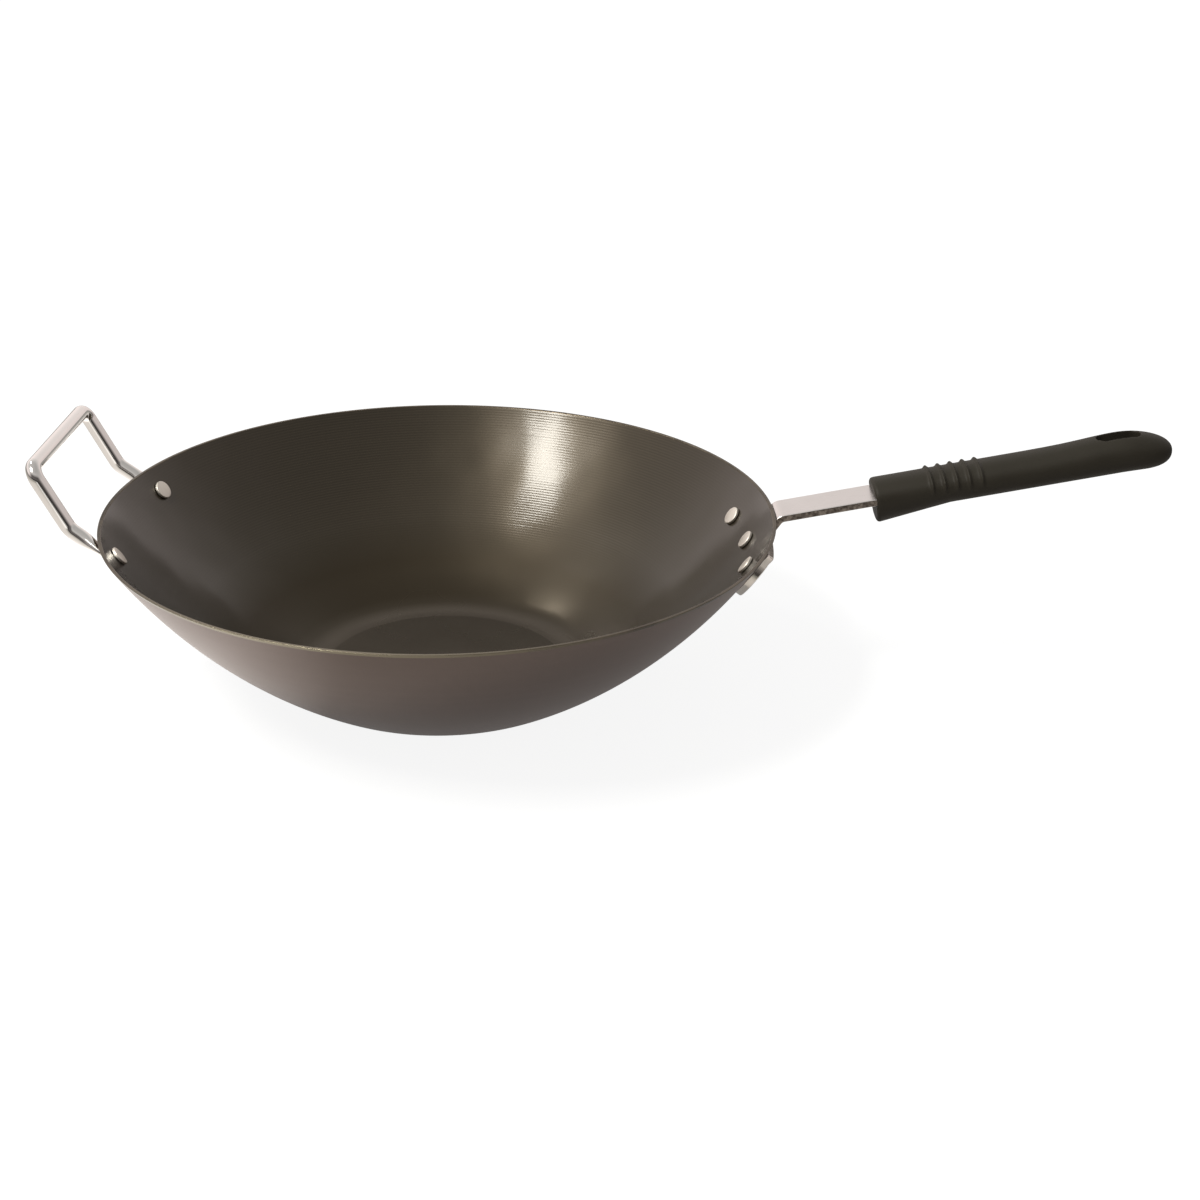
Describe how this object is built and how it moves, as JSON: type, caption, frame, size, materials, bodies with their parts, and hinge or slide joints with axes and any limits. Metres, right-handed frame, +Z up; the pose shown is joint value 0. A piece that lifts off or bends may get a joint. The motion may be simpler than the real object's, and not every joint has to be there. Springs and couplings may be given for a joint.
{
  "type": "wok",
  "caption": "Flat-bottom wok: dark coated steel bowl with a riveted strap handle in a ribbed black grip and a riveted bent-rod helper loop.",
  "frame": {"origin": "centre of the flat base, on its underside", "axes": "+Z up, +X from the bowl's axis along the long handle"},
  "size_m": [0.5955, 0.3556, 0.1401],
  "materials": {
    "bowl_coating": "dark grey-brown cooking coat on spun steel, with fine turned rings inside",
    "strap_steel": "satin flat bar, polished on the foot plate",
    "rivet_steel": "satin steel",
    "loop_chrome": "bright plated rod",
    "grip_black": "matte black moulded handle"
  },
  "bodies": {
    "root": {"wok_bowl": "bowl_coating", "handle_bracket": "strap_steel", "handle_rivet_1": "rivet_steel", "handle_rivet_2": "rivet_steel", "handle_rivet_3": "rivet_steel", "helper_handle": "loop_chrome", "helper_rivet_1": "rivet_steel", "helper_rivet_2": "rivet_steel", "handle_grip": "grip_black", "grip_screw": "rivet_steel"}
  },
  "joints": []
}
